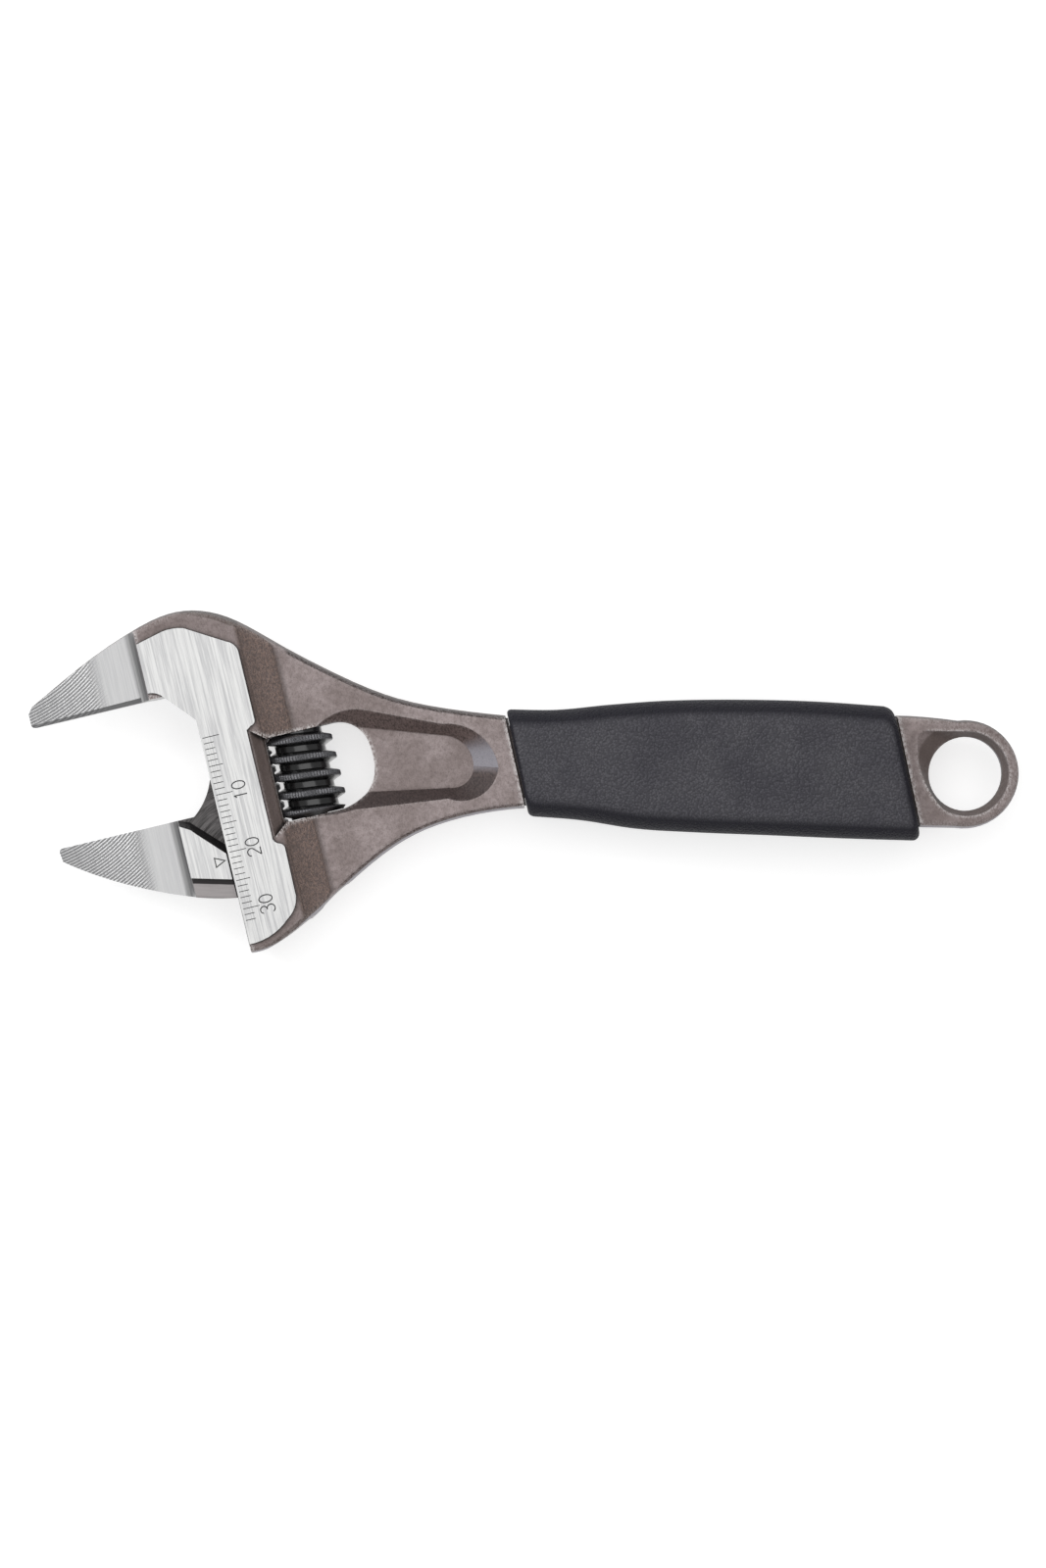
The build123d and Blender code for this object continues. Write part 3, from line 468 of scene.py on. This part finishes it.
steel = jaw_steel.mix(brushed.above(0.32, 0.68), GROUND_SHADE, GROUND_STEEL)
# painted shade in the corners past the step
steel = jaw_steel.mix(corner.above(0.1, 0.5) * past_step, steel, CUTTER_MARK_AND_SHADE)
steel = ground_thin(jaw_steel, steel, thin, level)
arcs, left = milled(sideways, downward, JAW_CUTTER, JAW_SMOOTH, JAW_MILLED)
arcs = arcs * thin
steel = cutter_shade(jaw_steel, steel, arcs, thin, left)
# the web is painted dark, partly forged skin and partly painted shade; its sloping walls near black as painted
# shade
web_skin_and_shade = jaw_steel.mix(swirl.above(0.3, 0.7), WEB_DARK, WEB_LIGHT)
web_skin_and_shade = jaw_steel.mix(level.above(0.9, 0.7), web_skin_and_shade, WEB_WALL_SHADE)
banded = jaw_steel.mix(drawn, BAND_DARK, BAND_LIGHT)
banded = jaw_steel.mix(over.above(BAND_TOP - 1.0, BAND_TOP - 0.85), banded, BAND_EDGE)
banded = jaw_steel.mix(over.above(BAND_TOP - 2.8, BAND_TOP - 3.6) * 0.6, banded, BAND_FOOT)
base = jaw_steel.mix(dark, steel, web_skin_and_shade)
base = jaw_steel.mix(band, base, banded)
base = jaw_steel.mix(marked, base, POINTER)
gloss = jaw_steel.blend(dark, 0.32 + 0.12 * brushed, 0.55)
metal = jaw_steel.blend(dark | band, 0.85, 0.4)
relief = jaw_steel.bump(swirl * dark, 0.00018)
relief = jaw_steel.bump(fine * dark, 0.00005, relief)
relief = jaw_steel.bump(brushed * (1 - dark), 0.000008, relief)
relief = jaw_steel.bump(arcs, 0.00004, relief)
lower_jaw = frame["nodes"]["moving_jaw"]
lower_jaw.data.materials.clear()
ground = jaw_steel.wear(Base_Color=base, Roughness=gloss, Metallic=metal, Normal=relief)
lower_jaw.data.materials.append(ground)

# Knurl: a left-hand worm turned from bar, its crests serrated for the thumb, blacked and oiled.
# It turns on its pin in the head's window and is counterbored for its spring.
KNURL_CREST = 0.0058
KNURL_ROOT = 0.0043
KNURL_PITCH = 0.00315
KNURL_BORE = 0.00205
SPRING_BORE = 0.00305
SPRING_DEPTH = 0.0046
KNURL_BREAK = 0.001                   # bevel of the crests at the ends
KNURL_LENGTH = 0.0146
FIRST_CREST = 0.0132                  # a crest on the handle's side, down from the fixed jaw's face
SERRATIONS = 66
SERRATION_DEPTH = 0.00013
SERRATION_STEPS = 4
SERRATED_FROM = 0.8                   # share of the thread's height where the serrations start
SERRATED_SHARE = 0.2
BLANK_TURNS = 8
SLEEVE_CLEAR = 0.0005
SLEEVE_SEGMENTS = 96
OIL_BLACK = tone(14, 14, 15)
OIL_SHEEN = tone(26, 26, 27)
RUBBED_AND_HIGHLIGHT = tone(122, 122, 126)
# shares of the pitch from the crest's middle, with the height of the worm there from root to crest
WORM = ((0.0, 1.0), (0.07, 1.0), (0.12, 0.99), (0.145, 0.93), (0.165, 0.84), (0.21, 0.62), (0.26, 0.37),
        (0.3, 0.17), (0.325, 0.06), (0.35, 0.01), (0.38, 0.0), (0.44, 0.0), (0.5, 0.0))
profile = list(WORM) + [(1 - share, rise) for share, rise in reversed(WORM[1:-1])]
spin = Vector(joint["knurl_spin"]["pos_m"])
spin_down = (spin - head).dot(slide)
up = Vector((0, 0, 1))


def on_knurl(angle, radius, down_from_face):
    """A point of the knurl: round its axis from the handle's side, out from it, and along it."""
    ring = across * cos(angle) + up * sin(angle)
    return spin + ring * radius + slide * (down_from_face - spin_down)


def worm_blank():
    """Closed bar with the worm's thread and serrations, longer than the knurl."""
    columns = SERRATIONS * SERRATION_STEPS
    first = FIRST_CREST - 2 * KNURL_PITCH
    rows = BLANK_TURNS * len(profile)
    blank = bmesh.new()
    grid = []
    for row in range(rows + 1):
        turn, step = divmod(row, len(profile))
        share, rise = profile[step]
        ring = []
        for column in range(columns):
            angle = tau * column / columns
            radius = KNURL_ROOT + rise * (KNURL_CREST - KNURL_ROOT)
            notch = 0.5 - 0.5 * cos(angle * SERRATIONS)
            radius -= SERRATION_DEPTH * notch * max(0.0, (rise - SERRATED_FROM) / SERRATED_SHARE)
            at = first + (turn + share - angle / tau) * KNURL_PITCH
            ring.append(blank.verts.new(on_knurl(angle, radius, at)))
        grid.append(ring)
    one_turn = len(profile)
    for row in range(rows):
        for column in range(columns - 1):
            blank.faces.new((grid[row][column], grid[row][column + 1],
                             grid[row + 1][column + 1], grid[row + 1][column]))
        if row >= one_turn:
            blank.faces.new((grid[row][-1], grid[row - one_turn][0],
                             grid[row - one_turn + 1][0], grid[row + 1][-1]))
    edges = [edge for edge in blank.edges if len(edge.link_faces) == 1]
    for end in (1, -1):
        hub = blank.verts.new(spin + slide * end * -0.5 * BLANK_TURNS * KNURL_PITCH)
        for edge in edges:
            side = ((edge.verts[0].co + edge.verts[1].co) / 2 - spin).dot(slide)
            if side * end < 0:
                blank.faces.new((edge.verts[0], edge.verts[1], hub))
    bmesh.ops.recalc_face_normals(blank, faces=blank.faces)
    mesh = bpy.data.meshes.new("worm_blank")
    blank.to_mesh(mesh)
    blank.free()
    return bpy.data.objects.new("worm_blank", mesh)


def turned_sleeve():
    """What the lathe leaves of the bar: bevelled ends, bore and counterbore."""
    start = spin_down - KNURL_LENGTH / 2
    end = spin_down + KNURL_LENGTH / 2
    edge = KNURL_CREST - KNURL_BREAK
    outside = KNURL_CREST + SLEEVE_CLEAR
    section = ((SPRING_BORE, start), (edge, start), (outside, start + KNURL_BREAK + SLEEVE_CLEAR),
               (outside, end - KNURL_BREAK - SLEEVE_CLEAR), (edge, end), (KNURL_BORE, end),
               (KNURL_BORE, start + SPRING_DEPTH), (SPRING_BORE, start + SPRING_DEPTH))
    sleeve = bmesh.new()
    rings = [[sleeve.verts.new(on_knurl(tau * (step + 0.5) / SLEEVE_SEGMENTS, radius, at))
              for step in range(SLEEVE_SEGMENTS)] for radius, at in section]
    for near, far in zip(rings, rings[1:] + rings[:1]):
        for step in range(SLEEVE_SEGMENTS):
            ahead = (step + 1) % SLEEVE_SEGMENTS
            sleeve.faces.new((near[step], near[ahead], far[ahead], far[step]))
    bmesh.ops.recalc_face_normals(sleeve, faces=sleeve.faces)
    mesh = bpy.data.meshes.new("turned_sleeve")
    sleeve.to_mesh(mesh)
    sleeve.free()
    return bpy.data.objects.new("turned_sleeve", mesh)


def kept_mesh(piece):
    """The mesh of a piece with its modifiers applied."""
    bpy.context.view_layer.update()
    finished = piece.evaluated_get(bpy.context.evaluated_depsgraph_get())
    return bpy.data.meshes.new_from_object(finished)


def smooth_but_sharp(mesh, degrees):
    """Smooth shading, except over edges sharper than this."""
    mesh.shade_smooth()
    mesh.set_sharp_from_angle(angle=radians(degrees))


bar = worm_blank()
sleeve = turned_sleeve()
for stock in (bar, sleeve):
    bpy.context.scene.collection.objects.link(stock)
turning = bar.modifiers.new("turning", "BOOLEAN")
turning.operation = "INTERSECT"
turning.solver = "EXACT"
turning.object = sleeve
knurl = bpy.data.objects.new("knurl_worm", kept_mesh(bar))
for stock in (bar, sleeve):
    bpy.data.objects.remove(stock)
bpy.context.scene.collection.objects.link(knurl)
smooth_but_sharp(knurl.data, 32)

blacked = Finish("oiled_black", IOR=1.5, Coat_Roughness=0.12)
along, over, height = from_point(blacked, head)
sideways, downward = on_head(along, over)
out = ((sideways - (spin - head).dot(across) * MM) ** 2.0 + height ** 2.0) ** 0.5
crest = out.above(5.25, 5.6)
spot = blacked.vector(sideways, downward, height)
film = blacked.noise(spot, 2.2, 3.0, 0.6)
rub = blacked.noise(spot, 7.0, 2.0, 0.6)
base = blacked.mix(film.above(0.3, 0.7), OIL_BLACK, OIL_SHEEN)
# crests painted lighter: rubbed by the thumb, and a painted highlight
base = blacked.mix(crest * rub.above(0.3, 0.6) * 0.85, base, RUBBED_AND_HIGHLIGHT)
gloss = blacked.blend(crest, 0.16 + 0.14 * film, 0.36)
relief = blacked.bump(film, 0.00003)
relief = blacked.bump(rub * crest, 0.00002, relief)
metal = 0.35 + 0.3 * crest
coat = 0.6 - 0.4 * crest
knurl.data.materials.clear()
oiled = blacked.wear(Base_Color=base, Roughness=gloss, Metallic=metal, Coat_Weight=coat, Normal=relief)
knurl.data.materials.append(oiled)
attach(knurl, "knurl")
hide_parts("knurl")

# Knurl's pin, a turned screw with a slotted end, and the drawn-wire spring that keeps the knurl
# from rattling. Both are plain steel with a little dark oil.
TURNED_DARK = tone(120, 119, 120)
TURNED_LIGHT = tone(158, 157, 157)
OIL_STAIN = tone(60, 56, 54)
turned = Finish("turned_steel")
along, over, height = from_point(turned, head)
sideways, downward = on_head(along, over)
rings = turned.noise(turned.vector(sideways * 0.2, downward * 6.0, height * 0.2), 1.0, 3.0, 0.6)
oil = turned.noise(turned.vector(sideways, downward, height), 0.8, 2.0, 0.5)
base = turned.mix(rings.above(0.3, 0.7), TURNED_DARK, TURNED_LIGHT)
base = turned.mix(oil.above(0.45, 0.7) * 0.6, base, OIL_STAIN)
relief = turned.bump(rings, 0.00001)
gloss = 0.25 + 0.2 * oil
metal = 1 - 0.2 * oil
pin_steel = turned.wear(Base_Color=base, Roughness=gloss, Metallic=metal, Normal=relief)
for name in ("knurl_pin", "knurl_spring"):
    node = frame["nodes"][name]
    node.data.materials.clear()
    node.data.materials.append(pin_steel)

# Grip: a charcoal elastomer sleeve moulded on the shank, crowned in the hand, with rolled ends
# beside a narrow groove. Its mould is grained like fine leather.
GRIP_START = 0.0537                   # slanted end at the neck, from the head's front edge, on top
HANDLE = 0.1334                       # eye's centre from the head's front edge
GRIP_GAP = 0.0004
EYE_LENGTH = 0.0122
END_SLANT = 0.24
NECK_TOP = 0.0079
EYE_TOP = 0.0097
SHANK = ((0.0061, -0.00615), (0.0079, -0.0076))
SHANK_HALF = 0.0032
CORNER = 0.0042                       # round of the grip's section
NECK_ROLL = 0.0008
EYE_ROLL = 0.0015
ROLL_STEPS = 7
STATIONS = 72
CORNER_STEPS = 10
INNER_CORNER = 0.0008
SLEEVE_DARK = tone(76, 75, 81)
SLEEVE_LIGHT = tone(86, 85, 90)
SLEEVE_EDGE_SHADE = tone(16, 15, 27)
GRAIN_CREASE = tone(28, 28, 34)
GRAIN_CROWN = tone(112, 114, 120)
# share of the way along, top, bottom and half thickness
FORM = ((0.0, 0.00895, -0.0093, 0.0057), (0.13, 0.0091, -0.00975, 0.00608),
        (0.27, 0.0102, -0.01095, 0.006935), (0.42, 0.01115, -0.0113, 0.007467),
        (0.6, 0.01165, -0.01145, 0.0076), (0.8, 0.0117, -0.01165, 0.007467),
        (1.0, 0.01115, -0.0117, 0.006745))


def grip_form(share):
    """Top, bottom and half thickness at a share of the length, on a smooth curve through FORM."""
    index = max(i for i in range(len(FORM) - 1) if FORM[i][0] <= share)
    start, end = FORM[index], FORM[index + 1]
    before = FORM[max(index - 1, 0)]
    after = FORM[min(index + 2, len(FORM) - 1)]
    way = (share - start[0]) / (end[0] - start[0])
    sizes = []
    for size in (1, 2, 3):
        rise_in = (end[size] - before[size]) / (end[0] - before[0]) * (end[0] - start[0])
        rise_out = (after[size] - start[size]) / (after[0] - start[0]) * (end[0] - start[0])
        sizes.append((2 * way**3 - 3 * way**2 + 1) * start[size] + (way**3 - 2 * way**2 + way) * rise_in
                     + (3 * way**2 - 2 * way**3) * end[size] + (way**3 - way**2) * rise_out)
    return sizes


def rounded_section(top, bottom, half, corner, steps):
    """Points of a rounded rectangle, counter-clockwise, as (over, up)."""
    points = []
    for turn, (over, rise) in enumerate(((top, half), (bottom, half), (bottom, -half), (top, -half))):
        centre_over = over - corner if over == top else over + corner
        centre_rise = rise - corner if rise > 0 else rise + corner
        for step in range(steps + 1):
            angle = (turn + step / steps) * pi / 2
            points.append((centre_over + corner * cos(angle), centre_rise + corner * sin(angle)))
    return points


def grip_ring(mesh, share, shift, inset, sizes, corner):
    """Ring of vertices at a share of the length, moved along it and drawn in."""
    top, bottom, half = sizes
    middle_over = (top + bottom) / 2
    start = eye.x - HANDLE + GRIP_START + 2 * GRIP_GAP + END_SLANT * (NECK_TOP - middle_over)
    end = eye.x - EYE_LENGTH - GRIP_GAP + END_SLANT * (EYE_TOP - middle_over)
    x = start + share * (end - start) + shift
    ring = []
    section = rounded_section(top - inset, bottom + inset, half - inset, corner, CORNER_STEPS)
    for over, rise in section:
        ring.append(mesh.verts.new((x - END_SLANT * (over - middle_over), eye.y + over, eye.z + rise)))
    return ring


def grip_mesh():
    """Sleeve as one closed tube: outside, rolled ends and the wall on the shank."""
    sleeve = bmesh.new()
    rings = []
    for step in range(ROLL_STEPS):
        angle = step / ROLL_STEPS * pi / 2
        inset = NECK_ROLL * (1 - sin(angle))
        shift = NECK_ROLL * (1 - cos(angle))
        rings.append(grip_ring(sleeve, 0.0, shift, inset, grip_form(0.0), CORNER - inset))
    length = HANDLE - EYE_LENGTH - GRIP_START
    first = NECK_ROLL / length
    last = 1 - EYE_ROLL / length
    for station in range(STATIONS + 1):
        share = first + (last - first) * station / STATIONS
        rings.append(grip_ring(sleeve, share, 0.0, 0.0, grip_form(share), CORNER))
    for step in range(1, ROLL_STEPS + 1):
        angle = step / ROLL_STEPS * pi / 2
        inset = EYE_ROLL * (1 - cos(angle))
        shift = -EYE_ROLL * (1 - sin(angle))
        rings.append(grip_ring(sleeve, 1.0, shift, inset, grip_form(1.0), CORNER - inset))
    for share, (top, bottom) in ((1.0, SHANK[1]), (0.0, SHANK[0])):
        rings.append(grip_ring(sleeve, share, 0.0, 0.0, (top, bottom, SHANK_HALF), INNER_CORNER))
    for near, far in zip(rings, rings[1:] + rings[:1]):
        for step in range(len(near)):
            ahead = (step + 1) % len(near)
            sleeve.faces.new((near[step], near[ahead], far[ahead], far[step]))
    bmesh.ops.recalc_face_normals(sleeve, faces=sleeve.faces)
    mesh = bpy.data.meshes.new("grip_sleeve")
    sleeve.to_mesh(mesh)
    sleeve.free()
    return mesh


grip = bpy.data.objects.new("grip_sleeve", grip_mesh())
bpy.context.scene.collection.objects.link(grip)
smooth_but_sharp(grip.data, 40)
moulded = Finish("grained_elastomer", IOR=1.48, Specular_IOR_Level=0.22)
along, over, height = from_point(moulded, eye)
spot = moulded.vector(along, over, height)
cells = moulded.grain(spot, 2.5, 0.5)
creases = moulded.noise(spot, 3.2, 3.0, 0.65, 0.6)
dust = moulded.noise(spot, 9.0, 2.0, 0.6)
shade = moulded.noise(spot, 0.12, 2.0, 0.5)
# the rolled edges are painted near black, as painted shade
edge = abs(moulded.parts(moulded.facing)[2]).above(1.0, 0.82)
base = moulded.mix(shade.above(0.3, 0.7), SLEEVE_DARK, SLEEVE_LIGHT)
base = moulded.mix(edge * 0.9, base, SLEEVE_EDGE_SHADE)
base = moulded.mix(cells.above(0.3, 0.55) * 0.4, base, GRAIN_CREASE)
base = moulded.mix(cells.above(0.24, 0.06) * creases.above(0.45, 0.65) * 0.35, base, GRAIN_CROWN)
relief = moulded.bump(cells, 0.00025)
relief = moulded.bump(creases, 0.00012, relief)
relief = moulded.bump(dust, 0.000015, relief)
gloss = 0.5 + 0.15 * creases
grip.data.materials.append(moulded.wear(Base_Color=base, Roughness=gloss, Normal=relief))
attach(grip, "frame")
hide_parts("grip")
